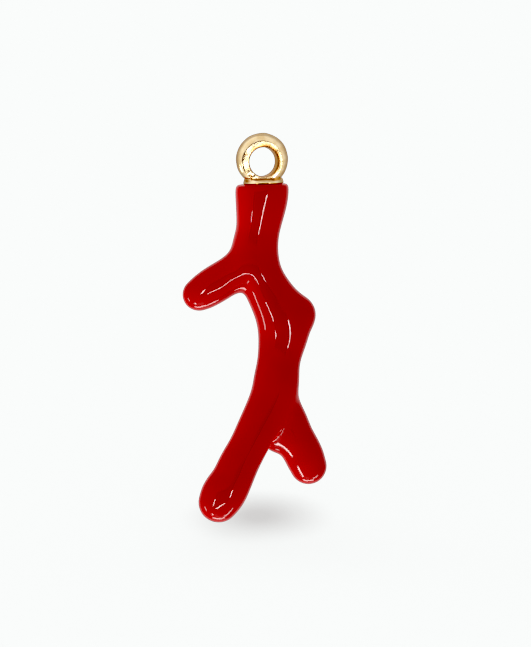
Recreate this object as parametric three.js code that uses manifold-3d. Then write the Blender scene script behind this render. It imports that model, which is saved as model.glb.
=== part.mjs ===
// A small red coral branch charm that hangs from a gold ring. Millimetres, +Z up, +X to the right
// as seen from the front, and the front faces -Y. The origin is the centre of the ring's eye.
// The branch hangs down from the ring: a flared stem, a fork with one short limb to the left, a
// trunk with a blunt knee on its right side, and a second fork with two round-ended legs.
import * as THREE from "three";
import { mergeVertices } from "three/addons/utils/BufferGeometryUtils.js";
import Module from "manifold-3d";

const wasm = await Module();
wasm.setup();

// Ring: a cast ring with a round outside and a plain bore, its eye, which sits a little below the
// ring's middle. It stands upright on its foot and is turned a little to one side.
const RING_OUTER_D = 4.04;
const RING_DEPTH = 1.15;
const RING_ROUND = 0.57;
const EYE_D = 2.3;
const EYE_EDGE_R = 0.16;
const EYE_DROP = 0.17;
const RING_TURN_DEG = 15;
const RING_ROUND_STEPS = 8;
const EYE_EDGE_STEPS = 2;
const RING_STEPS = 44;

// Foot: a low oval disc between the ring and the branch, with the ring sunk into its top.
const FOOT_LENGTH = 3.1;
const FOOT_DEPTH = 2.6;
const FOOT_HEIGHT = 0.42;
const FOOT_EDGE_R = 0.14;
const FOOT_SHIFT_X = 0.08;
const FOOT_SIDES = 40;
const FOOT_EDGE_STEPS = 3;

// Branch: the top is cut flat under the foot with a round rim, and the gap is what touching pieces
// keep. Sections are a little flattened from front to back.
const BRANCH_TOP_Z = -2.0;
const TOP_RADIUS = 2.07;
const TOP_EDGE_R = 0.36;
const TOP_SIDES = 40;
const TOP_EDGE_STEPS = 3;
const TOUCH_GAP = 0.04;
const BRANCH_DEPTH_SHARE = 0.9;
const FORK_BLEND = 0.36;
const LIMB_STEPS = 56;
const SKIN_CELL = 0.42;
const SKIN_MARGIN = 0.6;

// Each limb is a row of stations, [x, y, z, radius]: the middle of the limb and its half width. The
// lower left leg comes forwards and the lower right leg goes back.
const TRUNK_LINE = [
  [0.0, 0.2, -1.3, 2.02],
  [-0.02, 0.16, -2.81, 2.0],
  [-0.08, 0.13, -3.58, 1.9],
  [-0.2, 0.1, -4.59, 1.74],
  [-0.34, 0.08, -5.59, 1.65],
  [-0.5, 0.02, -6.67, 1.7],
  [-0.43, -0.1, -7.75, 1.68],
  [-0.05, -0.14, -8.99, 1.63],
  [0.62, -0.06, -10.38, 1.72],
  [1.32, 0.0, -11.77, 1.84],
  [1.63, 0.0, -13.0, 1.92],
  [1.5, -0.16, -14.32, 1.76],
  [1.3, -0.46, -15.47, 1.62],
  [1.14, -0.78, -16.71, 1.63],
  [0.9, -1.12, -18.02, 1.68],
  [0.33, -1.51, -19.34, 1.62],
  [-0.38, -1.93, -20.69, 1.53],
  [-1.21, -2.39, -22.29, 1.47],
  [-1.79, -2.66, -23.38, 1.52],
  [-2.44, -2.88, -24.76, 1.6],
  [-3.06, -2.99, -25.8, 1.66],
  [-3.34, -3.02, -26.3, 1.53],
];
const LEFT_LINE = [
  [-0.6, -0.35, -7.8, 0.95],
  [-1.45, -0.38, -8.3, 1.3],
  [-2.4, -0.32, -8.86, 1.33],
  [-3.79, -0.2, -9.7, 1.33],
  [-4.49, -0.1, -10.17, 1.25],
  [-4.92, 0.0, -10.45, 1.17],
];
const KNEE_LINE = [
  [1.54, 0.1, -11.46, 1.24],
  [2.16, 0.2, -11.69, 1.31],
  [2.71, 0.3, -11.96, 1.35],
];
const RIGHT_LINE = [
  [1.1, -0.5, -17.1, 1.2],
  [1.16, -0.35, -17.95, 1.26],
  [1.5, -0.1, -19.18, 1.42],
  [2.02, 0.1, -20.48, 1.54],
  [2.42, 0.35, -21.35, 1.5],
  [2.84, 0.65, -22.12, 1.48],
  [3.28, 1.05, -23.06, 1.48],
  [3.58, 1.35, -23.8, 1.39],
];

// Two low ridges make the front fuller: one runs down the stem, and one runs in an arch from the
// left limb over the fork and down the trunk. A small web fills the space between the two legs.
const STEM_RIDGE_LINE = [
  [-0.26, -0.8, -2.5, 0.8],
  [-0.44, -1.02, -3.4, 0.74],
  [-0.57, -1.05, -4.6, 0.7],
  [-0.74, -1.03, -5.6, 0.7],
  [-0.88, -1.03, -6.6, 0.74],
  [-0.9, -1.05, -7.5, 0.8],
];
const ARCH_RIDGE_LINE = [
  [-4.3, -0.46, -10.2, 0.85],
  [-3.5, -0.7, -9.73, 0.9],
  [-2.7, -0.86, -9.18, 0.89],
  [-1.83, -1.05, -8.73, 0.9],
  [-1.2, -1.2, -8.46, 0.88],
  [-0.66, -1.32, -8.56, 0.82],
  [-0.22, -1.3, -9.1, 0.76],
  [0.23, -1.15, -9.95, 0.74],
  [0.73, -0.96, -11.1, 0.8],
  [1.15, -0.8, -12.0, 0.95],
];
const CROTCH_WEB_LINE = [
  [0.5, 0.0, -20.3, 0.9],
  [0.88, 0.3, -21.1, 0.92],
  [1.08, 0.45, -21.6, 0.93],
];

// Saw lines that part the branch at its two forks: each runs from the hub of the fork, [x, z],
// out past the skin.
const UPPER_HUB = [-0.05, -8.85];
const UPPER_SAW_ENDS = [
  [-3.2, -5.9],
  [-2.3, -11.6],
  [2.4, -8.1],
];
const LOWER_HUB = [0.8, -20.2];
const LOWER_SAW_ENDS = [
  [-3.0, -18.6],
  [0.84, -23.6],
  [4.4, -18.4],
];
const SAW_DEPTH = 8;

const GOLD = new THREE.MeshStandardMaterial({ color: 0xe3bc72, roughness: 0.22, metalness: 1.0 });
const RED = new THREE.MeshStandardMaterial({ color: 0xa80303, roughness: 0.08, metalness: 0.0 });

// A limb's round slices, closely spaced: stations joined by a smooth curve, the radius by the same.
function slicesOf(line) {
  const middle = new THREE.CatmullRomCurve3(line.map(([x, y, z]) => new THREE.Vector3(x, y, z)));
  const width = new THREE.CatmullRomCurve3(line.map(([, , , r], i) => new THREE.Vector3(r, i, 0)));
  const slices = [];
  for (let i = 0; i <= LIMB_STEPS; i++) {
    const t = i / LIMB_STEPS;
    slices.push({ at: middle.getPoint(t), r: width.getPoint(t).x });
  }
  return slices;
}

const LIMBS = [
  TRUNK_LINE,
  LEFT_LINE,
  KNEE_LINE,
  RIGHT_LINE,
  STEM_RIDGE_LINE,
  ARCH_RIDGE_LINE,
  CROTCH_WEB_LINE,
].map(slicesOf);

// Distance from a point to a limb's skin, below 0 inside: to the nearest of its tapered stretches.
function distanceToLimb(slices, x, y, z) {
  let nearest = Infinity;
  for (let i = 1; i < slices.length; i++) {
    const a = slices[i - 1];
    const b = slices[i];
    const ux = b.at.x - a.at.x;
    const uy = b.at.y - a.at.y;
    const uz = b.at.z - a.at.z;
    const along = (x - a.at.x) * ux + (y - a.at.y) * uy + (z - a.at.z) * uz;
    const t = Math.min(1, Math.max(0, along / (ux * ux + uy * uy + uz * uz)));
    const gap = Math.hypot(x - a.at.x - t * ux, y - a.at.y - t * uy, z - a.at.z - t * uz);
    nearest = Math.min(nearest, gap - a.r - t * (b.r - a.r));
  }
  return nearest;
}

// The whole branch as one field, below 0 inside: the limbs run into each other with round webs,
// because their distances are joined by a soft minimum.
function branchField(x, y, z) {
  const deep = y / BRANCH_DEPTH_SHARE;
  let sum = 0;
  for (const slices of LIMBS) sum += Math.exp(-distanceToLimb(slices, x, deep, z) / FORK_BLEND);
  return -FORK_BLEND * Math.log(sum);
}

// The box that holds every limb, with a margin of open space all round.
function branchBox() {
  const box = new THREE.Box3();
  for (const slices of LIMBS) {
    for (const { at, r } of slices) {
      box.expandByPoint(at.clone().addScalar(r));
      box.expandByPoint(at.clone().addScalar(-r));
    }
  }
  return box.expandByScalar(SKIN_MARGIN);
}

// Moves a point along the field's slope until it lies on the skin.
function settle(field, point) {
  const step = 1e-3;
  for (let round = 0; round < 4; round++) {
    const { x, y, z } = point;
    const slope = new THREE.Vector3(
      field(x + step, y, z) - field(x - step, y, z),
      field(x, y + step, z) - field(x, y - step, z),
      field(x, y, z + step) - field(x, y, z - step),
    ).divideScalar(2 * step);
    point.addScaledVector(slope, -field(x, y, z) / slope.lengthSq());
  }
  return point;
}

// A closed skin over a field: one point in each grid cell that the skin crosses, and a pair of
// triangles across each grid edge that it crosses.
function skinOver(field, box, cell) {
  const size = box.getSize(new THREE.Vector3());
  const counts = size.toArray().map((length) => Math.ceil(length / cell) + 1);
  const [nx, ny, nz] = counts;
  const strides = [1, nx, nx * ny];
  const values = new Float64Array(nx * ny * nz);
  const cornerAt = (i, j, k) => box.min.clone().add(new THREE.Vector3(i, j, k).multiplyScalar(cell));
  for (let k = 0, n = 0; k < nz; k++)
    for (let j = 0; j < ny; j++)
      for (let i = 0; i < nx; i++, n++) values[n] = field(...cornerAt(i, j, k).toArray());

  const points = [];
  const pointOf = new Map();
  for (let k = 0; k < nz - 1; k++)
    for (let j = 0; j < ny - 1; j++)
      for (let i = 0; i < nx - 1; i++) {
        const sum = new THREE.Vector3();
        let crossings = 0;
        for (let edge = 0; edge < 12; edge++) {
          const axis = edge >> 2;
          const low = [0, 0, 0];
          low[(axis + 1) % 3] = edge & 1;
          low[(axis + 2) % 3] = (edge >> 1) & 1;
          const a = i + low[0] + strides[1] * (j + low[1]) + strides[2] * (k + low[2]);
          const b = a + strides[axis];
          if (values[a] < 0 === values[b] < 0) continue;
          low[axis] = values[a] / (values[a] - values[b]);
          sum.add(new THREE.Vector3(...low));
          crossings++;
        }
        if (!crossings) continue;
        const point = cornerAt(i, j, k).addScaledVector(sum, cell / crossings);
        pointOf.set(i + strides[1] * j + strides[2] * k, points.length);
        points.push(settle(field, point));
      }

  const triangles = [];
  for (let n = 0; n < values.length; n++)
    for (let axis = 0; axis < 3; axis++) {
      const next = n + strides[axis];
      if (next >= values.length || values[n] < 0 === values[next] < 0) continue;
      const u = strides[(axis + 1) % 3];
      const v = strides[(axis + 2) % 3];
      const around = [n, n - u, n - u - v, n - v].map((at) => pointOf.get(at));
      if (values[n] >= 0) around.reverse();
      const [a, b, c, d] = around;
      triangles.push(a, b, c, a, c, d);
    }
  const geometry = new THREE.BufferGeometry().setFromPoints(points);
  return geometry.setIndex(triangles);
}

// A closed geometry as a solid for joining and cutting, and a solid back as a geometry.
function solidOf(geometry, matrix = new THREE.Matrix4()) {
  const bare = new THREE.BufferGeometry();
  bare.setAttribute("position", geometry.getAttribute("position").clone());
  if (geometry.index) bare.setIndex(geometry.index.clone());
  const merged = mergeVertices(bare.applyMatrix4(matrix), 1e-4);
  return new wasm.Manifold(
    new wasm.Mesh({
      numProp: 3,
      vertProperties: new Float32Array(merged.attributes.position.array),
      triVerts: new Uint32Array(merged.index.array),
    }),
  );
}

function geometryOf(solid) {
  const { vertProperties, triVerts } = solid.getMesh();
  const geometry = new THREE.BufferGeometry();
  geometry.setAttribute("position", new THREE.BufferAttribute(new Float32Array(vertProperties), 3));
  geometry.setIndex(new THREE.BufferAttribute(new Uint32Array(triVerts), 1));
  geometry.computeVertexNormals();
  return geometry;
}

// A profile [radius, height] turned about the upright axis, and flattened from front to back.
function turned(profile, sides, depthShare, shiftX) {
  const body = new THREE.LatheGeometry(profile.map(([r, z]) => new THREE.Vector2(r, z)), sides);
  body.rotateX(Math.PI / 2);
  body.scale(1, depthShare, 1);
  body.translate(shiftX, 0, 0);
  return body;
}

// A quarter round at the top of a turned profile, from its side up to its flat end.
function roundEdge(radius, top, edgeR, steps) {
  const points = [];
  for (let i = 0; i <= steps; i++) {
    const angle = (i / steps) * (Math.PI / 2);
    points.push([radius - edgeR * (1 - Math.cos(angle)), top - edgeR * (1 - Math.sin(angle))]);
  }
  return points;
}

// What the skin is cut to at its top: a flat end and its round rim, and wide open below them.
function topShape() {
  const { max, min } = branchBox();
  const wide = max.x - min.x;
  const profile = [
    [0, min.z],
    [wide, min.z],
    [wide, BRANCH_TOP_Z - wide],
    ...roundEdge(TOP_RADIUS, BRANCH_TOP_Z, TOP_EDGE_R, TOP_EDGE_STEPS),
    [0, BRANCH_TOP_Z],
  ];
  const [middleX, middleY] = TRUNK_LINE[0];
  const shape = turned(profile, TOP_SIDES, BRANCH_DEPTH_SHARE, middleX);
  return solidOf(shape.translate(0, middleY * BRANCH_DEPTH_SHARE, 0));
}

// A saw cut from a fork's hub to a point past the skin: a thin upright board.
function sawCut([hubX, hubZ], [endX, endZ]) {
  const length = Math.hypot(endX - hubX, endZ - hubZ) + TOUCH_GAP;
  const board = new THREE.BoxGeometry(length, SAW_DEPTH, TOUCH_GAP);
  board.translate(length / 2 - TOUCH_GAP, 0, 0);
  const turn = new THREE.Matrix4().makeRotationY(-Math.atan2(endZ - hubZ, endX - hubX));
  return solidOf(board, turn.setPosition(hubX, 0, hubZ));
}

// The five limbs: the whole skin, sawn at both forks, and each piece named by a point inside it.
function limbGeometries() {
  let branch = solidOf(skinOver(branchField, branchBox(), SKIN_CELL)).intersect(topShape());
  for (const end of UPPER_SAW_ENDS) branch = branch.subtract(sawCut(UPPER_HUB, end));
  for (const end of LOWER_SAW_ENDS) branch = branch.subtract(sawCut(LOWER_HUB, end));
  const insides = {
    stem: TRUNK_LINE[3],
    left_limb: LEFT_LINE[4],
    trunk: TRUNK_LINE[11],
    lower_left_leg: TRUNK_LINE[19],
    lower_right_leg: RIGHT_LINE[4],
  };
  const pieces = branch.decompose();
  const limbs = {};
  for (const [name, [x, , z]] of Object.entries(insides)) {
    const reach = (piece) => {
      const { min, max } = piece.boundingBox();
      return Math.hypot((min[0] + max[0]) / 2 - x, (min[2] + max[2]) / 2 - z);
    };
    limbs[name] = geometryOf(pieces.reduce((best, piece) => (reach(piece) < reach(best) ? piece : best)));
  }
  return limbs;
}

// A profile turned about the ring's own axis, which lies level and is turned with the ring.
function turnedWithRing(profile) {
  const body = new THREE.LatheGeometry(profile.map(([r, y]) => new THREE.Vector2(r, y)), RING_STEPS);
  body.rotateZ(THREE.MathUtils.degToRad(RING_TURN_DEG));
  return solidOf(body);
}

// The ring before its eye is cut: a thick disc with a half round outside, drawn about its middle.
function ringDisc(spare = 0) {
  const half = RING_DEPTH / 2 + spare;
  const middleR = RING_OUTER_D / 2 - RING_ROUND;
  const rim = [];
  for (let i = 0; i <= RING_ROUND_STEPS; i++) {
    const angle = (i / RING_ROUND_STEPS - 0.5) * Math.PI;
    rim.push([middleR + (RING_ROUND + spare) * Math.cos(angle), half * Math.sin(angle)]);
  }
  return turnedWithRing([[0, -half], ...rim, [0, half]]);
}

// The eye as a body: a pin that opens out to a round edge at both faces of the ring.
function eyePin() {
  const half = RING_DEPTH / 2;
  const mouth = [];
  for (let i = 0; i <= EYE_EDGE_STEPS; i++) {
    const angle = (i / EYE_EDGE_STEPS) * (Math.PI / 2);
    const r = EYE_D / 2 + EYE_EDGE_R * (1 - Math.cos(angle));
    mouth.push([r, half - EYE_EDGE_R * (1 - Math.sin(angle))]);
  }
  const front = mouth.map(([r, y]) => [r, -y]).reverse();
  const outside = EYE_D / 2 + EYE_EDGE_R;
  const past = half + EYE_EDGE_R;
  return turnedWithRing([[0, -past], [outside, -past], ...front, ...mouth, [outside, past], [0, past]]);
}

function ringGeometry() {
  return geometryOf(ringDisc().subtract(eyePin().translate([0, 0, -EYE_DROP])));
}

// The foot: a disc with a rounded upper edge, stretched to an oval, with a groove for the ring.
function footGeometry() {
  const radius = FOOT_LENGTH / 2;
  const bottom = BRANCH_TOP_Z + TOUCH_GAP;
  const top = bottom + FOOT_HEIGHT;
  const profile = [
    [0, bottom],
    [radius, bottom],
    ...roundEdge(radius, top, FOOT_EDGE_R, FOOT_EDGE_STEPS),
    [0, top],
  ];
  const disc = turned(profile, FOOT_SIDES, FOOT_DEPTH / FOOT_LENGTH, FOOT_SHIFT_X);
  return geometryOf(solidOf(disc).subtract(ringDisc(TOUCH_GAP)));
}

const charm = new THREE.Group();

// Adds a piece, raised so that the origin is the middle of the eye and not of the ring.
function addPiece(name, geometry, material) {
  const mesh = new THREE.Mesh(geometry.translate(0, 0, EYE_DROP), material);
  mesh.name = name;
  charm.add(mesh);
}

addPiece("ring", ringGeometry(), GOLD);
addPiece("foot", footGeometry(), GOLD);
for (const [name, geometry] of Object.entries(limbGeometries())) addPiece(name, geometry, RED);

export default charm;
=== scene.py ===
"""A small red coral branch charm under a gold ring, on a plain white ground in soft studio light.

Everything is drawn in millimetres, with +Z up, +X to the right as seen from the front and the front
facing -Y, and is put into its mesh in metres. The origin is the middle of the ring's eye.
"""

import logging
import math
from dataclasses import dataclass
from enum import Enum

import bpy
import numpy as np
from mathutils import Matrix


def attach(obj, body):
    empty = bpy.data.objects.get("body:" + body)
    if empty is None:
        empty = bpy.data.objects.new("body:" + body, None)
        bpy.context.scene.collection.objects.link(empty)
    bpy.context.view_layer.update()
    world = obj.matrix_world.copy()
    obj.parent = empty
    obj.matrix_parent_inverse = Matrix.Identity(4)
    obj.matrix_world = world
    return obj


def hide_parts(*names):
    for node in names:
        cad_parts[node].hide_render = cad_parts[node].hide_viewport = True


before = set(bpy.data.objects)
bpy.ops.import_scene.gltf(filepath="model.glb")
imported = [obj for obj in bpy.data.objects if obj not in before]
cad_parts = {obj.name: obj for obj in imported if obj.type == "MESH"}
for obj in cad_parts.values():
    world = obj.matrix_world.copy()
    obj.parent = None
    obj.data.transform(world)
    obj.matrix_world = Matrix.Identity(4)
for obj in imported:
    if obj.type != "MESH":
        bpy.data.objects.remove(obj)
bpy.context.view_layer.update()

LOG = logging.getLogger("charm")
MM = 0.001
PHOTO_WIDTH_PX = 531
PHOTO_HEIGHT_PX = 647
PIXELS_PER_MM = 12.95
RING_MIDDLE_PX = (262.1, 159.6)
EYE_DROP = 0.17
# The gold's attribute of painted shade and painted darker spots, 0 to 1.
PAINTED_SHADE_AND_SPOTS = "painted_shade_and_spots"

Station = tuple[float, float, float, float]
Span = tuple[float, float, float]


class Slot(Enum):
    """The record's material slots."""

    RING = "gold_ring"
    FOOT = "gold_foot"
    CORAL = "red_coral"


def add_mesh(name: str, points: np.ndarray, faces: list[list[int]]) -> bpy.types.Object:
    """Makes an object from points in millimetres, smooth shaded, at the origin.

    Args:
        name: the piece's name.
        points: (n, 3) places of the vertices, in millimetres.
        faces: for each face its vertices' numbers, anticlockwise from outside.

    Returns:
        The new object, linked to the scene.
    """
    mesh = bpy.data.meshes.new(name)
    mesh.from_pydata((points * MM).tolist(), [], faces)
    mesh.polygons.foreach_set("use_smooth", np.ones(len(mesh.polygons), dtype=bool))
    mesh.update()
    piece = bpy.data.objects.new(name, mesh)
    bpy.context.scene.collection.objects.link(piece)
    return piece


def tube_faces(rows: int, sides: int, first: int = 0) -> list[list[int]]:
    """Quads between closed rows of points, with a fan to a pole point at each end.

    The rows come first, row after row, then the pole before the first row and the pole after the
    last one.

    Args:
        rows: how many rows.
        sides: how many points in a row.
        first: the number of the first vertex.

    Returns:
        The faces, anticlockwise from outside when the rows go anticlockwise as seen from the last.
    """
    at = np.arange(rows * sides).reshape(rows, sides) + first
    beside = np.roll(at, -1, axis=1)
    quads = np.stack([at[:-1], beside[:-1], beside[1:], at[1:]], axis=-1).reshape(-1, 4)
    low_pole = first + rows * sides
    high_pole = low_pole + 1
    low_fan = [[low_pole, int(b), int(a)] for a, b in zip(at[0], beside[0])]
    high_fan = [[high_pole, int(a), int(b)] for a, b in zip(at[-1], beside[-1])]
    return quads.tolist() + low_fan + high_fan


def wheel_faces(rows: int, sides: int) -> list[list[int]]:
    """Quads of a grid that closes on itself in both directions, as on a ring."""
    at = np.arange(rows * sides).reshape(rows, sides)
    on = np.roll(at, -1, axis=0)
    beside = np.roll(at, -1, axis=1)
    both = np.roll(on, -1, axis=1)
    return np.stack([at, on, both, beside], axis=-1).reshape(-1, 4).tolist()


def natural_curve(knots: np.ndarray, values: np.ndarray, at: np.ndarray) -> np.ndarray:
    """The smooth curve through given values, as a row of cubic stretches.

    The bends at the knots come from one set of linear equations: the slopes of neighbouring cubics
    agree at each knot, and the two ends don't bend.

    Args:
        knots: (n,) places along the curve.
        values: (n, k) values at the knots.
        at: (m,) places where the curve is wanted.

    Returns:
        (m, k) values of the curve.
    """
    step = np.diff(knots)[:, None]
    rise = np.diff(values, axis=0) / step
    count = len(knots)
    system = np.eye(count)
    inner = np.arange(1, count - 1)
    system[inner, inner - 1] = step[:-1, 0]
    system[inner, inner] = 2.0 * (step[:-1, 0] + step[1:, 0])
    system[inner, inner + 1] = step[1:, 0]
    turn = np.zeros_like(values)
    turn[1:-1] = 6.0 * np.diff(rise, axis=0)
    bend = np.linalg.solve(system, turn)
    left = np.clip(np.searchsorted(knots, at, side="right") - 1, 0, count - 2)
    along = at[:, None] - knots[left, None]
    h = step[left]
    slope = rise[left] - h * (2.0 * bend[left] + bend[left + 1]) / 6.0
    curl = (bend[left + 1] - bend[left]) / (6.0 * h)
    return values[left] + along * (slope + along * (bend[left] / 2.0 + along * curl))


@dataclass
class Limb:
    """A round limb that thins and thickens along a curve.

    Attributes:
        stations: [x, y, z, radius] in millimetres, y before the branch is flattened.
    """

    stations: tuple[Station, ...]
    spacing: float = 0.12

    def __post_init__(self) -> None:
        """Works out the closely spaced slices once."""
        table = np.array(self.stations)
        steps = np.linalg.norm(np.diff(table[:, :3], axis=0), axis=1)
        knots = np.concatenate([[0.0], np.cumsum(steps)])
        count = max(12, round(knots[-1] / self.spacing))
        slices = natural_curve(knots, table, np.linspace(0.0, knots[-1], count + 1))
        self.middle = slices[:, :3]
        self.radius = slices[:, 3]

    def distance(self, points: np.ndarray) -> tuple[np.ndarray, np.ndarray]:
        """Distance to the limb's skin, below 0 inside, and which way it grows.

        The limb is a row of balls. The distance to each ball is the distance to its middle less its
        radius, and a parabola through the nearest ball and its two neighbours gives the least of
        them between the balls.

        Args:
            points: (n, 3) places.

        Returns:
            (n,) distances and (n, 3) directions of length 1.
        """
        squares = (points**2).sum(1)[:, None] + (self.middle**2).sum(1) - 2.0 * points @ self.middle.T
        gaps = np.sqrt(np.maximum(squares, 0.0)) - self.radius
        rows = np.arange(len(points))
        near = np.clip(gaps.argmin(1), 1, len(self.middle) - 2)
        before, here, after = gaps[rows, near - 1], gaps[rows, near], gaps[rows, near + 1]
        bend = before - 2.0 * here + after
        lean = 0.5 * (after - before)
        shift = np.clip(-lean / np.where(bend > 1e-12, bend, np.inf), -1.0, 1.0)
        value = here + shift * (lean + 0.5 * bend * shift)
        s = shift[:, None]
        back, mid, ahead = self.middle[near - 1], self.middle[near], self.middle[near + 1]
        foot = mid + s * (0.5 * (ahead - back) + 0.5 * s * (ahead - 2.0 * mid + back))
        outward = points - foot
        return value, outward / np.maximum(np.linalg.norm(outward, axis=1, keepdims=True), 1e-9)

    def tube(self, sides: int, cap_rows: int) -> np.ndarray:
        """The limb as a round profile carried along its curve, with half balls at its ends.

        Args:
            sides: points round the limb.
            cap_rows: rows of points on each half ball.

        Returns:
            (rows, sides, 3) points.
        """
        along = np.gradient(self.middle, axis=0)
        along /= np.linalg.norm(along, axis=1, keepdims=True)
        turn = np.linspace(0.0, np.pi / 2.0, cap_rows + 1)[1:] * 0.98
        first = self.middle[0] - np.sin(turn)[::-1, None] * self.radius[0] * along[0]
        last = self.middle[-1] + np.sin(turn)[:, None] * self.radius[-1] * along[-1]
        middle = np.concatenate([first, self.middle, last])
        caps = np.cos(turn)
        radius = np.concatenate([caps[::-1] * self.radius[0], self.radius, caps * self.radius[-1]])
        first_way = np.repeat(along[:1], cap_rows, 0)
        last_way = np.repeat(along[-1:], cap_rows, 0)
        heading = np.concatenate([first_way, along, last_way])
        side = np.cross(heading, [0.0, 1.0, 0.0])
        side /= np.linalg.norm(side, axis=1, keepdims=True)
        front = np.cross(heading, side)
        angle = np.linspace(0.0, 2.0 * np.pi, sides, endpoint=False)
        spread = np.cos(angle)[:, None] * side[:, None] + np.sin(angle)[:, None] * front[:, None]
        return middle[:, None] + radius[:, None, None] * spread


@dataclass
class CoralBranch:
    """The red branch: limbs that run into each other with round webs, in one seamless skin."""

    trunk: Limb
    left: Limb
    knee: Limb
    right: Limb
    stem_ridge: Limb
    arch_ridge: Limb
    crotch_web: Limb
    fork_blend: float = 0.36
    depth_share: float = 0.9
    top: float = -1.91
    top_rise: float = 0.03
    rim_blend: float = 0.16
    skin_cell: float = 0.105
    settle_rounds: int = 6

    def limbs(self) -> tuple[Limb, ...]:
        """All the limbs, the low ridges on the front and the web between the legs among them."""
        ridges = (self.stem_ridge, self.arch_ridge, self.crotch_web)
        return (self.trunk, self.left, self.knee, self.right, *ridges)

    def field(self, points: np.ndarray) -> tuple[np.ndarray, np.ndarray]:
        """How far points lie from the skin, below 0 inside, and the slope there.

        The distances to the limbs are joined by a soft least value, which is -k times the logarithm
        of the sum of exp(-distance / k). The flat top joins as a soft greatest value.

        Args:
            points: (n, 3) places in millimetres.

        Returns:
            (n,) values and (n, 3) slopes.
        """
        flatten = np.array([1.0, self.depth_share, 1.0])
        found = [limb.distance(points / flatten) for limb in self.limbs()]
        gaps = np.array([gap for gap, _ in found])
        slopes = np.array([slope for _, slope in found]) / flatten
        shares = np.exp(-(gaps - gaps.min(0)) / self.fork_blend)
        total = shares.sum(0)
        body = gaps.min(0) - self.fork_blend * np.log(total)
        body_slope = (slopes * (shares / total)[:, :, None]).sum(0)
        lid = points[:, 2] - self.top - self.top_rise * points[:, 0]
        lid_slope = np.array([-self.top_rise, 0.0, 1.0])
        highest = np.maximum(body, lid)
        body_share = np.exp((body - highest) / self.rim_blend)
        lid_share = np.exp((lid - highest) / self.rim_blend)
        both = body_share + lid_share
        value = highest + self.rim_blend * np.log(both)
        slope = (body_share / both)[:, None] * body_slope + (lid_share / both)[:, None] * lid_slope
        return value, slope

    def settle(self, points: np.ndarray, edges: np.ndarray) -> np.ndarray:
        """Evens out the points and moves each along the slope until it lies on the skin.

        Args:
            points: (n, 3) places near the skin.
            edges: (m, 2) numbers of neighbouring points.

        Returns:
            (n, 3) places on the skin.
        """
        neighbours = np.bincount(edges.ravel(), minlength=len(points))[:, None]
        chunks = range(0, len(points), 8000)
        for round_number in range(self.settle_rounds):
            if round_number < self.settle_rounds - 2:
                sums = np.zeros_like(points)
                for axis in range(3):
                    for a, b in ((0, 1), (1, 0)):
                        sums[:, axis] += np.bincount(edges[:, a], points[edges[:, b], axis], len(points))
                points = 0.5 * points + 0.5 * sums / neighbours
            for start in chunks:
                part = points[start : start + 8000]
                value, slope = self.field(part)
                part -= (value / (slope**2).sum(1))[:, None] * slope
        return points

    def build(self, finish: "RedGlaze") -> bpy.types.Object:
        """Joins the limbs' tubes in one skin, settles it on the branch's surface and dresses it.

        Args:
            finish: the red glaze.

        Returns:
            The finished piece.
        """
        sides, cap_rows = 24, 8
        points, faces, count = [], [], 0
        for limb in self.limbs():
            tube = limb.tube(sides, cap_rows)
            rows = len(tube)
            poles = np.stack([tube[0].mean(0), tube[-1].mean(0)])
            points.append(np.concatenate([tube.reshape(-1, 3), poles]))
            faces += tube_faces(rows, sides, count)
            count += rows * sides + 2
        rough = add_mesh("coral_branch_rough", np.concatenate(points) / MM, faces)
        remesh = rough.modifiers.new("one_skin", "REMESH")
        remesh.mode = "VOXEL"
        remesh.voxel_size = self.skin_cell
        remesh.use_smooth_shade = True
        seen = rough.evaluated_get(bpy.context.evaluated_depsgraph_get())
        mesh = bpy.data.meshes.new_from_object(seen)
        mesh.name = "coral_branch"
        bpy.data.objects.remove(rough)
        places = np.empty(len(mesh.vertices) * 3)
        mesh.vertices.foreach_get("co", places)
        edges = np.empty(len(mesh.edges) * 2, dtype=int)
        mesh.edges.foreach_get("vertices", edges)
        settled = self.settle(places.reshape(-1, 3), edges.reshape(-1, 2))
        settled[:, 2] += EYE_DROP
        mesh.vertices.foreach_set("co", (settled * MM).ravel())
        mesh.update()
        piece = bpy.data.objects.new("coral_branch", mesh)
        bpy.context.scene.collection.objects.link(piece)
        piece.data.materials.append(finish.material())
        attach(piece, "root")
        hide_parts("stem", "left_limb", "trunk", "lower_left_leg", "lower_right_leg")
        return piece


@dataclass(frozen=True)
class DarkSpot:
    """A small darker spot painted on the gold's front; the ones low on the left, where ring meets foot,
    are painted shade.

    Attributes:
        x: its place to the right, in millimetres.
        z: its place upwards, in millimetres.
        half_wide: how far it reaches sideways.
        half_tall: how far it reaches up and down.
        depth: how strong it is, 0 to 1.
    """

    x: float
    z: float
    half_wide: float
    half_tall: float
    depth: float

    def share(self, points: np.ndarray) -> np.ndarray:
        """How strong the spot is at points: depth * exp(-(distance / reach)^2), on the front only."""
        across = (points[:, 0] - self.x) / self.half_wide
        up = (points[:, 2] - self.z) / self.half_tall
        return self.depth * np.exp(-(across**2) - up**2) * (points[:, 1] < 0.0)


def add_painted_shade_and_spots(piece: bpy.types.Object, painted_shade_and_spots: np.ndarray) -> None:
    """Stores the painted shade and painted darker spots at each vertex, 0 to 1, as the attribute that
    CastGold reads.
    """
    attribute = piece.data.attributes.new(PAINTED_SHADE_AND_SPOTS, "FLOAT", "POINT")
    attribute.data.foreach_set("value", np.clip(painted_shade_and_spots, 0.0, 1.0).astype(np.float32))


def lumps(points: np.ndarray, length: float) -> np.ndarray:
    """A soft unevenness from -1 to 1: the mean of three waves of about that length, crosswise."""
    x, y, z = (points / length * 2.0 * np.pi).T
    waves = np.sin(x + 1.3 * np.sin(0.7 * z)) + np.sin(z + 1.1 * np.sin(0.9 * y)) + np.sin(y + 0.8 * x)
    return waves / 3.0


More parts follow.
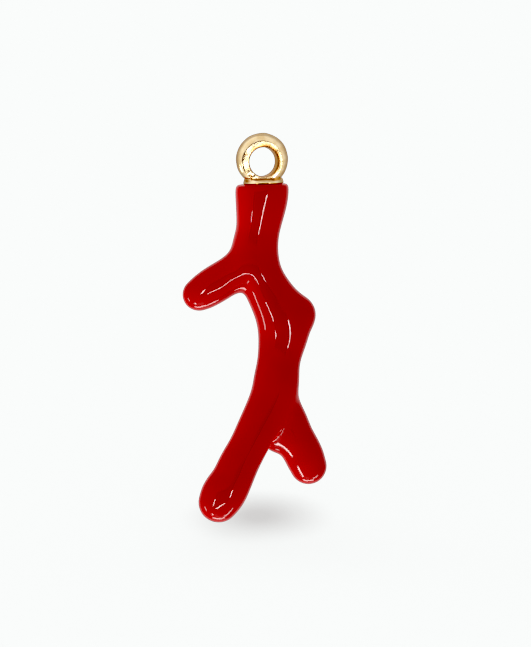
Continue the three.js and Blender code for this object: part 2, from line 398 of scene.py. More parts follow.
@dataclass
class HangingRing:
    """The gold ring: a flat face with a tight shoulder, a round outside and a plain bore.

    The bore sits a little below the middle of the outside, so the ring is thinner at its foot.
    """

    outer_radius: float = 2.02
    eye_radius: float = 1.15
    depth: float = 1.15
    round_width: float = 0.47
    wider_right: float = 0.1
    wider_top: float = 0.13
    shoulder_deg: float = 34.0
    shoulder_share: float = 0.09
    eye_edge: float = 0.1
    turn_deg: float = 13.5
    steps: int = 320
    face_rows: int = 12
    unevenness: float = 0.006
    casting_lump: float = 1.1
    solder_place: tuple[float, float] = (-0.95, -1.2)
    solder_reach: float = 0.4
    solder_height: float = 0.025
    solder_lump: float = 0.42
    # Painted shade round the eye, where its edge and wall lie in shade.
    eye_shade_reach: float = 0.07
    eye_shade_wider: float = 0.06
    eye_shade_widest_at: float = 1.2
    eye_shade_inside: float = 0.32
    eye_shade_front_reach: float = 0.16
    eye_shade_darkest_at: float = 0.9
    # Painted darker spots on the ring's front; the two low on the left, by the foot, are painted shade.
    dark_spots: tuple[DarkSpot, ...] = (
        DarkSpot(0.61, 1.3, 0.06, 0.06, 0.8),
        DarkSpot(-1.24, 0.6, 0.07, 0.07, 0.6),
        DarkSpot(0.03, 1.36, 0.04, 0.12, 0.6),
        DarkSpot(-0.82, -1.17, 0.06, 0.24, 0.9),
        DarkSpot(-1.0, -1.33, 0.16, 0.13, 0.35),
    )

    def outside(self) -> np.ndarray:
        """The rounded outside of the section, from the front face to the back face.

        The skin's tilt grows by shoulder_deg * (1 - exp(-s / shoulder_share)) and for the rest of a
        quarter turn evenly, where s goes from 0 at the face to 1 at the rim. The sums of its cosines
        and sines are stretched to the width of the round and to half the depth.

        Returns:
            (2, n) distances from the rim as shares of the round's width, which are -1 at the face
            and 0 at the rim, and places in depth.
        """
        s = np.linspace(0.0, 1.0, 36)
        tilt = math.radians(self.shoulder_deg) * (1.0 - np.exp(-s / self.shoulder_share))
        tilt += s * (np.pi / 2.0 - tilt[-1])
        middle = (tilt[1:] + tilt[:-1]) / 2.0
        outwards = np.concatenate([[0.0], np.cumsum(np.cos(middle))])
        backwards = np.concatenate([[0.0], np.cumsum(np.sin(middle))])
        rim = outwards / outwards[-1] - 1.0
        deep = self.depth / 2.0 * (backwards / backwards[-1] - 1.0)
        return np.array([np.concatenate([rim, rim[-2::-1]]), np.concatenate([deep, -deep[-2::-1]])])

    def eye(self) -> np.ndarray:
        """The eye's wall with a quarter round at each face, from the back face to the front face.

        Returns:
            (2, n) distances from the wall and places in depth.
        """
        turn = np.linspace(0.0, np.pi / 2.0, 9)
        edge = self.eye_edge * (1.0 - np.sin(turn))
        deep = self.depth / 2.0 - self.eye_edge * (1.0 - np.cos(turn))
        wall = np.linspace(deep[-1], -deep[-1], 12)[1:-1]
        out = np.concatenate([edge, 0.0 * wall, edge[::-1]])
        return np.array([out, np.concatenate([deep, wall, -deep[::-1]])])

    def painted_shade_and_spots(self, u: np.ndarray, radius: np.ndarray, deep: np.ndarray) -> np.ndarray:
        """Painted shade round the eye, put into the gold's colour: most on the eye's front edge, and
        less inside the eye.

        It falls as exp(-distance outwards from the eye's wall / reach), where the reach is widest at
        one angle. It also falls from the front face back to the share that the inside of the eye
        keeps, and to a half on the side away from its darkest angle.

        Args:
            u: (n, 1) angles round the eye.
            radius: (n, m) distances from the eye's middle.
            deep: (n, m) places in depth, with the front face below 0.

        Returns:
            (n, m) shares, 0 to 1.
        """
        reach = self.eye_shade_reach + self.eye_shade_wider * (1.0 + np.cos(u - self.eye_shade_widest_at))
        by_eye = np.exp(-np.maximum(radius - self.eye_radius, 0.0) / reach)
        by_front = np.exp(-(deep + self.depth / 2.0) / self.eye_shade_front_reach)
        by_side = 0.75 + 0.25 * np.cos(u - self.eye_shade_darkest_at)
        return by_eye * (self.eye_shade_inside + (1.0 - self.eye_shade_inside) * by_front) * by_side

    def build(self, finish: "CastGold") -> bpy.types.Object:
        """The section carried round the eye, and the whole ring turned about the upright axis.

        Round the eye's middle, the rim is at drop * sin(u) + sqrt(outer^2 - (drop * cos(u))^2). The
        outside keeps its distance from the rim, the eye's wall keeps its distance from the eye, and
        rows of points on each face lie evenly between them. Last come the soft unevenness of the
        casting and the small lumps of solder low on the left.

        Args:
            finish: the gold.

        Returns:
            The finished piece.
        """
        outside, eye = self.outside(), self.eye()
        u = np.linspace(0.0, 2.0 * np.pi, self.steps, endpoint=False)[:, None]
        rim = EYE_DROP * np.sin(u) + np.sqrt(self.outer_radius**2 - (EYE_DROP * np.cos(u)) ** 2)
        width = self.round_width + self.wider_right * np.cos(u) + self.wider_top * np.sin(u)
        outer_r = rim + width * outside[0]
        inner_r = self.eye_radius + eye[0] + 0.0 * u
        share = np.linspace(0.0, 1.0, self.face_rows + 2)[1:-1]
        back_r = outer_r[:, -1:] * (1.0 - share) + inner_r[:, :1] * share
        front_r = inner_r[:, -1:] * (1.0 - share) + outer_r[:, :1] * share
        face = np.full(self.face_rows, self.depth / 2.0)
        radius = np.concatenate([outer_r, back_r, inner_r, front_r], axis=1)
        deep = np.concatenate([outside[1], face, eye[1], -face])[None, :] + 0.0 * u
        turn = math.radians(self.turn_deg)
        flat_x = radius * np.cos(u)
        x = flat_x * math.cos(turn) - deep * math.sin(turn)
        y = flat_x * math.sin(turn) + deep * math.cos(turn)
        points = np.stack([x, y, radius * np.sin(u)], axis=-1).reshape(-1, 3)
        from_solder = np.hypot(points[:, 0] - self.solder_place[0], points[:, 2] - self.solder_place[1])
        solder = self.solder_height * np.exp(-((from_solder / self.solder_reach) ** 2))
        solder = solder * lumps(points, self.solder_lump)
        points *= (1.0 + self.unevenness * lumps(points, self.casting_lump) + solder)[:, None]
        dark_spots = np.max([spot.share(points) for spot in self.dark_spots], axis=0)
        piece = add_mesh("gold_ring", points, wheel_faces(self.steps, radius.shape[1]))
        # The eye's painted shade and the painted darker spots go into the gold's colour.
        add_painted_shade_and_spots(piece, np.maximum(self.painted_shade_and_spots(u, radius, deep).ravel(), dark_spots))
        piece.data.materials.append(finish.material())
        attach(piece, "root")
        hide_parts("ring")
        return piece


@dataclass
class OvalFoot:
    """The low oval foot under the ring: a round-edged plate that rises in a soft cone to the ring."""

    half_length: float = 1.53
    half_depth: float = 1.3
    bottom: float = -1.93
    bead: float = 0.135
    cone_rise: float = 0.16
    shift_x: float = 0.1
    rise: float = 0.035
    solder_height: float = 0.6
    solder_reach: float = 0.22
    solder_top: float = -1.43
    # A thin line of painted shade low on the bead, where its edge turns under towards the red.
    shade_line: float = 0.09
    shade_line_reach: float = 0.045
    shade_line_depth: float = 0.5
    sides: int = 160
    # Painted shade on the foot's top, low on the left where it meets the ring.
    dark_spots: tuple[DarkSpot, ...] = (
        DarkSpot(-1.16, -1.47, 0.22, 0.16, 0.5),
        DarkSpot(-0.8, -1.3, 0.06, 0.14, 0.8),
    )

    def build(self, ring: HangingRing, finish: "CastGold") -> bpy.types.Object:
        """A profile of radius and height carried round an oval, with a raised top near the ring.

        The edge is a half round bead, and from its top the plate rises as a sine. Near the ring it
        rises by solder_height * exp(-distance to the ring / solder_reach).

        Args:
            ring: the ring that stands in the foot.
            finish: the gold.

        Returns:
            The finished piece.
        """
        turn = np.linspace(-np.pi / 2.0, np.pi / 2.0, 17)
        share = np.linspace(0.0, 1.0, 30)[1:]
        bead_r = 1.0 - self.bead * (1.0 - np.cos(turn)) / self.half_length
        inner_r = bead_r[-1] + share * (0.03 - bead_r[-1])
        under_r = np.linspace(0.2, bead_r[0], 5)[:-1]
        radius = np.concatenate([under_r, bead_r, inner_r])
        bead_z = self.bead * (1.0 + np.sin(turn))
        cone_z = 2.0 * self.bead + self.cone_rise * np.sin(share * np.pi / 2.0)
        height = np.concatenate([np.zeros(4), bead_z, cone_z])[:, None]
        angle = np.linspace(0.0, 2.0 * np.pi, self.sides, endpoint=False)
        x = radius[:, None] * self.half_length * np.cos(angle) + self.shift_x
        y = radius[:, None] * self.half_depth * np.sin(angle)
        is_top = np.clip(height / (2.0 * self.bead), 0.0, 1.0) ** 4
        z = self.bottom + height + self.rise * x
        lean = math.radians(ring.turn_deg)
        ring_x = x * math.cos(lean) + y * math.sin(lean)
        ring_y = -x * math.sin(lean) + y * math.cos(lean)
        half = ring.depth / 2.0
        beyond = np.maximum(np.hypot(ring_x, z) - (ring.outer_radius - half), 0.0)
        gap = np.maximum(np.hypot(beyond, ring_y) - half, 0.0)
        solder = is_top * self.solder_height * np.exp(-gap / self.solder_reach)
        z = np.minimum(z + solder, self.solder_top)
        grid = np.stack([x, y, z + EYE_DROP], axis=-1)
        poles = np.stack([grid[0].mean(0), grid[-1].mean(0)])
        points = np.concatenate([grid.reshape(-1, 3), poles])
        # Painted shade in a thin line low on the bead, with the painted darker spots, goes into the
        # gold's colour.
        over_bottom = points[:, 2] - EYE_DROP - self.rise * points[:, 0] - self.bottom
        from_line = (over_bottom - self.shade_line) / self.shade_line_reach
        dark_spots = np.max([spot.share(points) for spot in self.dark_spots], axis=0)
        piece = add_mesh("gold_foot", points, tube_faces(len(grid), self.sides))
        add_painted_shade_and_spots(piece, np.maximum(self.shade_line_depth * np.exp(-(from_line**2)), dark_spots))
        piece.data.materials.append(finish.material())
        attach(piece, "root")
        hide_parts("foot")
        return piece


def new_material(name: str) -> tuple[bpy.types.Material, bpy.types.Node]:
    """Makes a node material.

    Args:
        name: the material's name.

    Returns:
        The material and its Principled shader.
    """
    material = bpy.data.materials.new(name)
    material.use_nodes = True
    return material, material.node_tree.nodes["Principled BSDF"]


@dataclass(frozen=True)
class RedGlaze:
    """Deep red under a thick clear gloss, with faint clouds, and a little lighter near the top."""

    deep: tuple[float, float, float] = (0.36, 0.0015, 0.0015)
    light: tuple[float, float, float] = (0.44, 0.0020, 0.0020)
    cloud_mm: float = 3.0
    cloud_share: float = 0.4
    lighter_from: float = -11.0
    lighter_to: float = -5.0
    lighter_share: float = 0.5
    body_roughness: float = 0.2
    coat_roughness: float = 0.02
    coat_index: float = 1.5
    sheen: float = 0.5
    sheen_roughness: float = 0.3
    sheen_tint: tuple[float, float, float] = (1.0, 0.0, 0.0)

    def material(self) -> bpy.types.Material:
        """The glaze as a node material."""
        material, shader = new_material("red_glaze")
        tree = material.node_tree
        nodes, links = tree.nodes, tree.links
        place = nodes.new("ShaderNodeTexCoord")
        clouds = nodes.new("ShaderNodeTexNoise")
        clouds.inputs["Scale"].default_value = 1.0 / (self.cloud_mm * MM)
        clouds.inputs["Detail"].default_value = 3.0
        links.new(place.outputs["Object"], clouds.inputs["Vector"])
        split = nodes.new("ShaderNodeSeparateXYZ")
        links.new(place.outputs["Object"], split.inputs[0])
        upper = NodeSum(tree, split.outputs["Z"]).step(self.lighter_from * MM, self.lighter_to * MM)
        cloudy = NodeSum(tree, clouds.outputs["Fac"]).step(0.3, 0.7)
        lightness = cloudy * self.cloud_share + upper * self.lighter_share
        ramp = nodes.new("ShaderNodeValToRGB")
        ramp.color_ramp.elements[0].color = (*self.deep, 1.0)
        ramp.color_ramp.elements[1].color = (*self.light, 1.0)
        links.new(lightness.socket, ramp.inputs["Fac"])
        links.new(ramp.outputs["Color"], shader.inputs["Base Color"])
        shader.inputs["Roughness"].default_value = self.body_roughness
        shader.inputs["Specular IOR Level"].default_value = 0.0
        shader.inputs["Coat Weight"].default_value = 1.0
        shader.inputs["Coat Roughness"].default_value = self.coat_roughness
        shader.inputs["Coat IOR"].default_value = self.coat_index
        shader.inputs["Sheen Weight"].default_value = self.sheen
        shader.inputs["Sheen Roughness"].default_value = self.sheen_roughness
        shader.inputs["Sheen Tint"].default_value = (*self.sheen_tint, 1.0)
        return material


@dataclass(frozen=True)
class CastGold:
    """Pale gold plating over a casting: soft unevenness, and painted shade and darker spots in orange
    and brown, from an attribute.
    """

    pale: tuple[float, float, float] = (0.86, 0.71, 0.46)
    warm: tuple[float, float, float] = (0.74, 0.56, 0.31)
    orange: tuple[float, float, float] = (0.52, 0.27, 0.09)
    brown: tuple[float, float, float] = (0.20, 0.08, 0.03)
    gloss_tint: tuple[float, float, float] = (0.85, 0.7, 0.5)
    roughness: float = 0.16
    lump_mm: float = 0.7
    bump_strength: float = 0.2
    bump_mm: float = 0.02

    def material(self) -> bpy.types.Material:
        """The gold as a node material."""
        material, shader = new_material("cast_gold")
        nodes, links = material.node_tree.nodes, material.node_tree.links
        place = nodes.new("ShaderNodeTexCoord")
        lumps_node = nodes.new("ShaderNodeTexNoise")
        lumps_node.inputs["Scale"].default_value = 1.0 / (self.lump_mm * MM)
        lumps_node.inputs["Detail"].default_value = 2.0
        links.new(place.outputs["Object"], lumps_node.inputs["Vector"])
        plating = nodes.new("ShaderNodeValToRGB")
        plating.color_ramp.elements[0].position = 0.35
        plating.color_ramp.elements[0].color = (*self.warm, 1.0)
        plating.color_ramp.elements[1].position = 0.6
        plating.color_ramp.elements[1].color = (*self.pale, 1.0)
        links.new(lumps_node.outputs["Fac"], plating.inputs["Fac"])
        # The attribute's painted shade and painted darker spots turn the gold orange, then brown.
        painted_shade_and_spots = nodes.new("ShaderNodeAttribute")
        painted_shade_and_spots.attribute_name = PAINTED_SHADE_AND_SPOTS
        shade_ramp = nodes.new("ShaderNodeValToRGB")
        shade_ramp.color_ramp.elements[0].position = 0.3
        shade_ramp.color_ramp.elements[0].color = (*self.orange, 1.0)
        shade_ramp.color_ramp.elements[1].position = 0.8
        shade_ramp.color_ramp.elements[1].color = (*self.brown, 1.0)
        links.new(painted_shade_and_spots.outputs["Fac"], shade_ramp.inputs["Fac"])
        share = nodes.new("ShaderNodeMapRange")
        share.interpolation_type = "SMOOTHSTEP"
        share.inputs["From Max"].default_value = 0.5
        links.new(painted_shade_and_spots.outputs["Fac"], share.inputs["Value"])
        mix = nodes.new("ShaderNodeMix")
        mix.data_type = "RGBA"
        links.new(share.outputs["Result"], mix.inputs["Factor"])
        links.new(plating.outputs["Color"], mix.inputs["A"])
        links.new(shade_ramp.outputs["Color"], mix.inputs["B"])
        links.new(mix.outputs["Result"], shader.inputs["Base Color"])
        shader.inputs["Metallic"].default_value = 1.0
        shader.inputs["Roughness"].default_value = self.roughness
        shader.inputs["Specular Tint"].default_value = (*self.gloss_tint, 1.0)
        bump = nodes.new("ShaderNodeBump")
        bump.inputs["Strength"].default_value = self.bump_strength
        bump.inputs["Distance"].default_value = self.bump_mm * MM
        links.new(lumps_node.outputs["Fac"], bump.inputs["Height"])
        links.new(bump.outputs["Normal"], shader.inputs["Normal"])
        return material


class NodeSum:
    """A number worked out by math nodes, so that a sum reads as one in the code."""

    def __init__(self, tree: bpy.types.NodeTree, socket: bpy.types.NodeSocket) -> None:
        """Keeps the tree and the socket that gives the number."""
        self.tree = tree
        self.socket = socket

    def math(self, operation: str, *others: "NodeSum | float") -> "NodeSum":
        """One math node on this number and up to two others."""
        node = self.tree.nodes.new("ShaderNodeMath")
        node.operation = operation
        self.tree.links.new(self.socket, node.inputs[0])
        for place, other in enumerate(others, start=1):
            if isinstance(other, NodeSum):
                self.tree.links.new(other.socket, node.inputs[place])
            else:
                node.inputs[place].default_value = other
        return NodeSum(self.tree, node.outputs[0])

    def __add__(self, other: "NodeSum | float") -> "NodeSum":
        """The sum of two numbers."""
        return self.math("ADD", other)

    def __mul__(self, other: "NodeSum | float") -> "NodeSum":
        """The product of two numbers."""
        return self.math("MULTIPLY", other)

    def step(self, start: float, end: float) -> "NodeSum":
        """0 before start, 1 after end and smooth between them; end may be the lower one."""
        node = self.tree.nodes.new("ShaderNodeMapRange")
        node.interpolation_type = "SMOOTHSTEP"
        self.tree.links.new(self.socket, node.inputs["Value"])
        low, high = min(start, end), max(start, end)
        node.inputs["From Min"].default_value = low
        node.inputs["From Max"].default_value = high
        node.inputs["To Min"].default_value = 0.0 if start < end else 1.0
        node.inputs["To Max"].default_value = 1.0 if start < end else 0.0
        return NodeSum(self.tree, node.outputs["Result"])

    def between(self, low: float, high: float, soft: float) -> "NodeSum":
        """1 from low to high, falling to 0 over a soft edge of that width."""
        half = soft / 2.0
        return self.step(low - half, low + half) * self.step(high + half, high - half)


class RayWay:
    """The direction of a ray in the world: x, y and z, and the angles that the tent is drawn in."""

    def __init__(self, tree: bpy.types.NodeTree) -> None:
        """Works out the angles, in degrees.

        Round is the angle about the upright axis, 0 towards the camera and below 0 to the left, and
        up is the height over level. Across is the angle to the right, and below is the angle down
        from the way to the camera.
        """
        split = tree.nodes.new("ShaderNodeSeparateXYZ")
        tree.links.new(tree.nodes.new("ShaderNodeTexCoord").outputs["Generated"], split.inputs[0])
        self.x = NodeSum(tree, split.outputs["X"])
        self.y = NodeSum(tree, split.outputs["Y"])
        self.z = NodeSum(tree, split.outputs["Z"])
        degrees = 180.0 / math.pi
        front = self.y * -1.0
        self.round = self.x.math("ARCTAN2", front) * degrees
        self.up = self.z.math("ARCSINE") * degrees
        self.across = self.x.math("ARCSINE") * degrees
        self.below = (self.z * -1.0).math("ARCTAN2", front) * degrees


class Angles(Enum):
    """The pair of a ray's angles that a patch of light is drawn in."""

    ROUND_AND_UP = "round and up"
    ACROSS_AND_BELOW = "across and below"


@dataclass(frozen=True)
class Patch:
    """A bright patch on the tent, between two angles each way.

    Attributes:
        angles: the pair of angles.
        first: the pair's first angle: from, to, and how wide the soft edges are, in degrees.
        second: the same for its second angle.
        share: how bright it is, as a share of the strips' light.
    """

    angles: Angles
    first: Span
    second: Span
    share: float = 1.0

    def shape(self, way: RayWay) -> NodeSum:
        """1 inside the patch and 0 outside it, for a ray that goes that way."""
        if self.angles is Angles.ROUND_AND_UP:
            return way.round.between(*self.first) * way.up.between(*self.second)
        return way.across.between(*self.first) * way.below.between(*self.second)


@dataclass
class Studio:
    """The camera, the white ground with its soft shadow, and the tent of light round the charm."""

    camera_distance: float = 600.0
    camera_rise_deg: float = 3.5
    background: tuple[float, float, float] = (0.956, 0.974, 0.965)
    black_level: float = 0.06
    floor_z: float = -30.3
    sweep_span: tuple[float, float] = (-15.0, 30.0)
    sweep_rise: float = 9.0
    shadow_middle: tuple[float, float] = (-0.3, 1.5)
    scrim_radius: float = 3.1
    scrim_height: float = 14.0
    scrim_lets_through: tuple[float, float, float] = (0.63, 0.665, 0.66)
    overhead_size: float = 42.0
    overhead_reach: float = 100.0
    overhead_power: float = 0.6
    window_deg: float = 30.0
    window_dark: float = 0.95
    left_light: float = 1.45
    right_light: float = 1.3
    side_light: float = 0.65
    back_light: float = 0.85
    ground_light: float = 0.3
    strip_light: float = 24.0
    patches: tuple[Patch, ...] = (
        Patch(Angles.ROUND_AND_UP, (-31.8, -28.2, 0.8), (-18.0, -6.0, 1.0)),
        Patch(Angles.ROUND_AND_UP, (28.2, 31.8, 0.8), (-18.0, -2.5, 1.0)),
        Patch(Angles.ACROSS_AND_BELOW, (-15.0, 15.0, 1.0), (28.5, 31.5, 0.8)),
        Patch(Angles.ROUND_AND_UP, (-91.0, -84.0, 1.5), (-36.0, -18.0, 2.0), 0.4),
        Patch(Angles.ACROSS_AND_BELOW, (20.0, 45.0, 2.0), (83.0, 93.0, 1.0), 0.4),
        Patch(Angles.ACROSS_AND_BELOW, (-20.0, 20.0, 2.0), (97.0, 108.0, 1.0), 0.4),
        Patch(Angles.ROUND_AND_UP, (-70.0, -54.0, 2.0), (-64.0, -57.0, 2.0), 0.8),
    )
    base_glow: float = 0.7
    left_glow: float = 0.08
    top_glow: float = 0.35
    ground_glow: float = 1.4
    lower_left_glow: float = 1.4
    rim_glow: float = 1.35

    def camera(self) -> None:
        """A long lens a little above the charm, framed as the picture is."""
        data = bpy.data.cameras.new("camera")
        camera = bpy.data.objects.new("camera", data)
        bpy.context.scene.collection.objects.link(camera)
        bpy.context.scene.camera = camera
        rise = math.radians(self.camera_rise_deg)
        aim_x = (PHOTO_WIDTH_PX / 2.0 - RING_MIDDLE_PX[0]) / PIXELS_PER_MM
        aim_z = (RING_MIDDLE_PX[1] - PHOTO_HEIGHT_PX / 2.0) / PIXELS_PER_MM / math.cos(rise) + EYE_DROP
        reach = self.camera_distance * MM
        camera.location = (
            aim_x * MM,
            -reach * math.cos(rise),
            aim_z * MM + reach * math.sin(rise),
        )
        camera.rotation_euler = (math.pi / 2.0 - rise, 0.0, 0.0)
        frame_height = PHOTO_HEIGHT_PX / PIXELS_PER_MM
        data.lens = data.sensor_width * self.camera_distance / frame_height
        data.clip_start = 0.01
        data.clip_end = 10.0
        data.dof.use_dof = False

    def floor(self) -> bpy.types.Object:
        """A wide white sweep that shows nothing but the shadow on it, and rises a little behind.

        The height is the floor's level plus the rise times s^2 (3 - 2 s), where s goes from 0 to 1
        between the start and the end of the rise.

        Returns:
            The sweep.
        """
        far = 4000.0
        start, end = self.sweep_span
        y = np.concatenate([[-far], np.linspace(start, end, 41), [far]])
        s = np.clip((y - start) / (end - start), 0.0, 1.0)
        z = self.floor_z + self.sweep_rise * s * s * (3.0 - 2.0 * s)
        left = np.column_stack([np.full(len(y), -far), y, z])
        points = np.concatenate([left, left * (-1.0, 1.0, 1.0)])
        low = np.arange(len(y) - 1)
        faces = np.column_stack([low, low + len(y), low + len(y) + 1, low + 1]).tolist()
        floor = add_mesh("ground", points, faces)
        material, shader = new_material("white_ground")
        shader.inputs["Base Color"].default_value = (0.9, 0.9, 0.9, 1.0)
        shader.inputs["Roughness"].default_value = 0.9
        floor.data.materials.append(material)
        floor.is_shadow_catcher = True
        floor.visible_glossy = False
        floor.visible_diffuse = False
        floor.visible_shadow = False
        return floor

    def scrim(self) -> bpy.types.Object:
        """A small round net under the overhead light, seen by that light alone.

        It draws the round, pale shadow of the picture on the floor, which is softer than the one
        that the charm would throw.

        Returns:
            The scrim.
        """
        angle = np.linspace(0.0, 2.0 * np.pi, 64, endpoint=False)
        x = self.shadow_middle[0] + self.scrim_radius * np.cos(angle)
        y = self.shadow_middle[1] + self.scrim_radius * np.sin(angle)
        z = np.full(64, self.floor_z + self.scrim_height)
        scrim = add_mesh("scrim", np.column_stack([x, y, z]), [list(range(64))])
        material, shader = new_material("net")
        tree = material.node_tree
        net = tree.nodes.new("ShaderNodeBsdfTransparent")
        net.inputs["Color"].default_value = (*self.scrim_lets_through, 1.0)
        tree.links.new(net.outputs[0], tree.nodes["Material Output"].inputs["Surface"])
        tree.nodes.remove(shader)
        scrim.data.materials.append(material)
        scrim.visible_camera = False
        scrim.visible_glossy = False
        scrim.visible_diffuse = False
        return scrim

    def shadow_light(self, floor: bpy.types.Object, scrim: bpy.types.Object) -> None:
        """A soft round light overhead that lights the floor alone, through the scrim.

        Args:
            floor: what the light falls on.
            scrim: what dims it.
        """
        data = bpy.data.lights.new("overhead", "AREA")
        data.shape = "DISK"
        data.size = self.overhead_size * MM
        data.energy = self.overhead_power
        light = bpy.data.objects.new("overhead", data)
        x, y = self.shadow_middle
        light.location = (x * MM, y * MM, (self.floor_z + self.overhead_reach) * MM)
        light.visible_camera = False
        light.visible_glossy = False
        bpy.context.scene.collection.objects.link(light)
        lit = bpy.data.collections.new("lit_from_overhead")
        lit.objects.link(floor)
        light.light_linking.receiver_collection = lit
        dimmed = bpy.data.collections.new("dims_overhead")
        dimmed.objects.link(scrim)
        light.light_linking.blocker_collection = dimmed

    def room(self, way: RayWay) -> NodeSum:
        """The tent's walls as the gloss sees them.

        The front wall is brighter on the left than on the right, the two sides are dimmer, the back
        is bright and the ground adds a little. A dark window lies round the camera.

        Args:
            way: the direction of a ray.

        Returns:
            The brightness of the walls that way.
        """
        window = way.round.between(-self.window_deg, self.window_deg, 1.0)
        window = window * way.up.step(-36.0, -24.0) * way.up.step(16.0, 7.0)
        turned = way.round.math("ABSOLUTE")
        leftness = way.round.step(12.0, -12.0)
        front_wall = leftness * (self.left_light - self.right_light) + self.right_light
        room = (front_wall + -self.side_light) * turned.step(125.0, 60.0)
        room = room + turned.step(135.0, 165.0) * (self.back_light - self.side_light)
        room = room + self.side_light
        room = room + way.up.step(-40.0, -75.0) * self.ground_light
        return room * (window * -self.window_dark + 1.0)

    def glow(self, way: RayWay) -> NodeSum:
        """The soft light that shades the charm.

        It is even, with a little more from the left and from above. More comes up from the ground,
        most of it from the lower left, and more comes from behind, which brightens the edges.

        Args:
            way: the direction of a ray.

        Returns:
            The brightness of the light from that way.
        """
        x, y, z = way.x, way.y, way.z
        glow = x * -self.left_glow + z.step(0.0, 1.0) * self.top_glow + self.base_glow
        lower_left = z.step(0.1, -0.7) * x.step(0.0, -0.8) * self.lower_left_glow
        glow = glow + (z.step(-0.35, -1.0) + lower_left) * self.ground_glow
        return glow + y.step(0.0, 0.5) * (x * -0.25 + 0.85) * self.rim_glow

    def tent(self) -> None:
        """The world: white to the camera, walls with bright patches for the gloss, and a soft glow."""
        world = bpy.data.worlds.new("tent")
        bpy.context.scene.world = world
        world.use_nodes = True
        tree = world.node_tree
        tree.nodes.clear()
        way = RayWay(tree)
        tent = self.room(way)
        for patch in self.patches:
            tent = tent + patch.shape(way) * (patch.share * self.strip_light)
        path = tree.nodes.new("ShaderNodeLightPath")
        gloss = NodeSum(tree, path.outputs["Is Glossy Ray"])
        light = gloss * tent + (gloss * -1.0 + 1.0) * self.glow(way)
        seen = tree.nodes.new("ShaderNodeMixShader")
        lit = tree.nodes.new("ShaderNodeBackground")
        plain = tree.nodes.new("ShaderNodeBackground")
        tree.links.new(light.socket, lit.inputs["Strength"])
        keep = 1.0 - self.black_level
        green_and_blue = [c * keep + self.black_level for c in self.background[1:]]
        plain.inputs["Color"].default_value = (self.background[0], *green_and_blue, 1.0)
        output = tree.nodes.new("ShaderNodeOutputWorld")
        tree.links.new(path.outputs["Is Camera Ray"], seen.inputs["Fac"])
        tree.links.new(lit.outputs[0], seen.inputs[1])
        tree.links.new(plain.outputs[0], seen.inputs[2])
        tree.links.new(seen.outputs[0], output.inputs["Surface"])

    def colours(self) -> None:
        """Plain colours, with the picture's deep blacks in green and blue."""
        view = bpy.context.scene.view_settings
        view.view_transform = "Standard"
        view.look = "None"
        view.use_curve_mapping = True
        view.curve_mapping.black_level = (0.0, self.black_level, self.black_level)
        view.curve_mapping.update()

    def build(self) -> None:
        """Sets up everything round the charm."""
        self.camera()
        self.shadow_light(self.floor(), self.scrim())
        self.tent()
        self.colours()


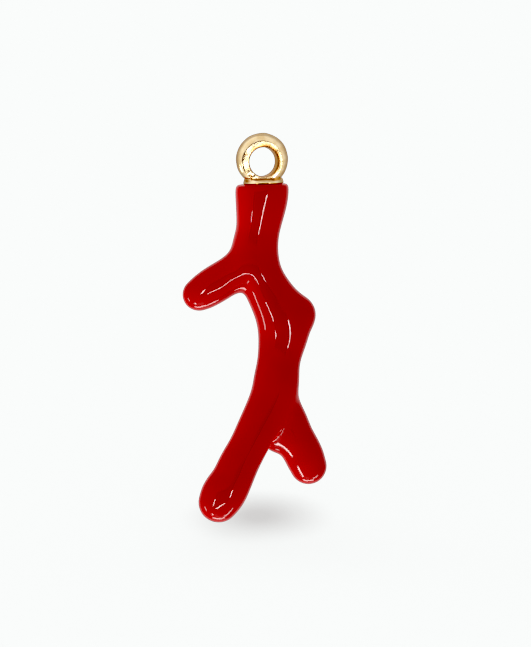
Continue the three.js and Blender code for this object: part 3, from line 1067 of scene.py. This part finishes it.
def coral_branch() -> CoralBranch:
    """The branch with its limbs' stations, the same as the solids are made from."""
    return CoralBranch(
        trunk=Limb(
            (
                (0.0, 0.2, -1.3, 2.02),
                (-0.02, 0.16, -2.81, 2.0),
                (-0.08, 0.13, -3.58, 1.9),
                (-0.2, 0.1, -4.59, 1.74),
                (-0.34, 0.08, -5.59, 1.65),
                (-0.5, 0.02, -6.67, 1.7),
                (-0.43, -0.1, -7.75, 1.68),
                (-0.05, -0.14, -8.99, 1.63),
                (0.62, -0.06, -10.38, 1.72),
                (1.32, 0.0, -11.77, 1.84),
                (1.63, 0.0, -13.0, 1.92),
                (1.5, -0.16, -14.32, 1.76),
                (1.3, -0.46, -15.47, 1.62),
                (1.14, -0.78, -16.71, 1.63),
                (0.9, -1.12, -18.02, 1.68),
                (0.33, -1.51, -19.34, 1.62),
                (-0.38, -1.93, -20.69, 1.53),
                (-1.21, -2.39, -22.29, 1.47),
                (-1.79, -2.66, -23.38, 1.52),
                (-2.44, -2.88, -24.76, 1.6),
                (-3.06, -2.99, -25.8, 1.66),
                (-3.34, -3.02, -26.3, 1.53),
            )
        ),
        left=Limb(
            (
                (-0.6, -0.35, -7.8, 0.95),
                (-1.45, -0.38, -8.3, 1.3),
                (-2.4, -0.32, -8.86, 1.33),
                (-3.79, -0.2, -9.7, 1.33),
                (-4.49, -0.1, -10.17, 1.25),
                (-4.92, 0.0, -10.45, 1.17),
            )
        ),
        knee=Limb(((1.54, 0.1, -11.46, 1.24), (2.16, 0.2, -11.69, 1.31), (2.71, 0.3, -11.96, 1.35))),
        right=Limb(
            (
                (1.1, -0.5, -17.1, 1.2),
                (1.16, -0.35, -17.95, 1.26),
                (1.5, -0.1, -19.18, 1.42),
                (2.02, 0.1, -20.48, 1.54),
                (2.42, 0.35, -21.35, 1.5),
                (2.84, 0.65, -22.12, 1.48),
                (3.28, 1.05, -23.06, 1.48),
                (3.58, 1.35, -23.8, 1.39),
            )
        ),
        stem_ridge=Limb(
            (
                (-0.26, -0.8, -2.5, 0.8),
                (-0.44, -1.02, -3.4, 0.74),
                (-0.57, -1.05, -4.6, 0.7),
                (-0.74, -1.03, -5.6, 0.7),
                (-0.88, -1.03, -6.6, 0.74),
                (-0.9, -1.05, -7.5, 0.8),
            )
        ),
        arch_ridge=Limb(
            (
                (-4.3, -0.46, -10.2, 0.85),
                (-3.5, -0.7, -9.73, 0.9),
                (-2.7, -0.86, -9.18, 0.89),
                (-1.83, -1.05, -8.73, 0.9),
                (-1.2, -1.2, -8.46, 0.88),
                (-0.66, -1.32, -8.56, 0.82),
                (-0.22, -1.3, -9.1, 0.76),
                (0.23, -1.15, -9.95, 0.74),
                (0.73, -0.96, -11.1, 0.8),
                (1.15, -0.8, -12.0, 0.95),
            )
        ),
        crotch_web=Limb(((0.5, 0.0, -20.3, 0.9), (0.88, 0.3, -21.1, 0.92), (1.08, 0.45, -21.6, 0.93))),
    )


def main() -> None:
    """Builds the charm and its studio, and reports each piece."""
    logging.basicConfig(level=logging.INFO, format="%(name)s: %(message)s")
    Studio().build()
    ring = HangingRing()
    gold = CastGold()
    pieces = [
        coral_branch().build(RedGlaze()),
        ring.build(gold),
        OvalFoot().build(ring, gold),
    ]
    for piece in pieces:
        LOG.info("%s: %d faces", piece.name, len(piece.data.polygons))


if __name__ == "__main__":
    main()
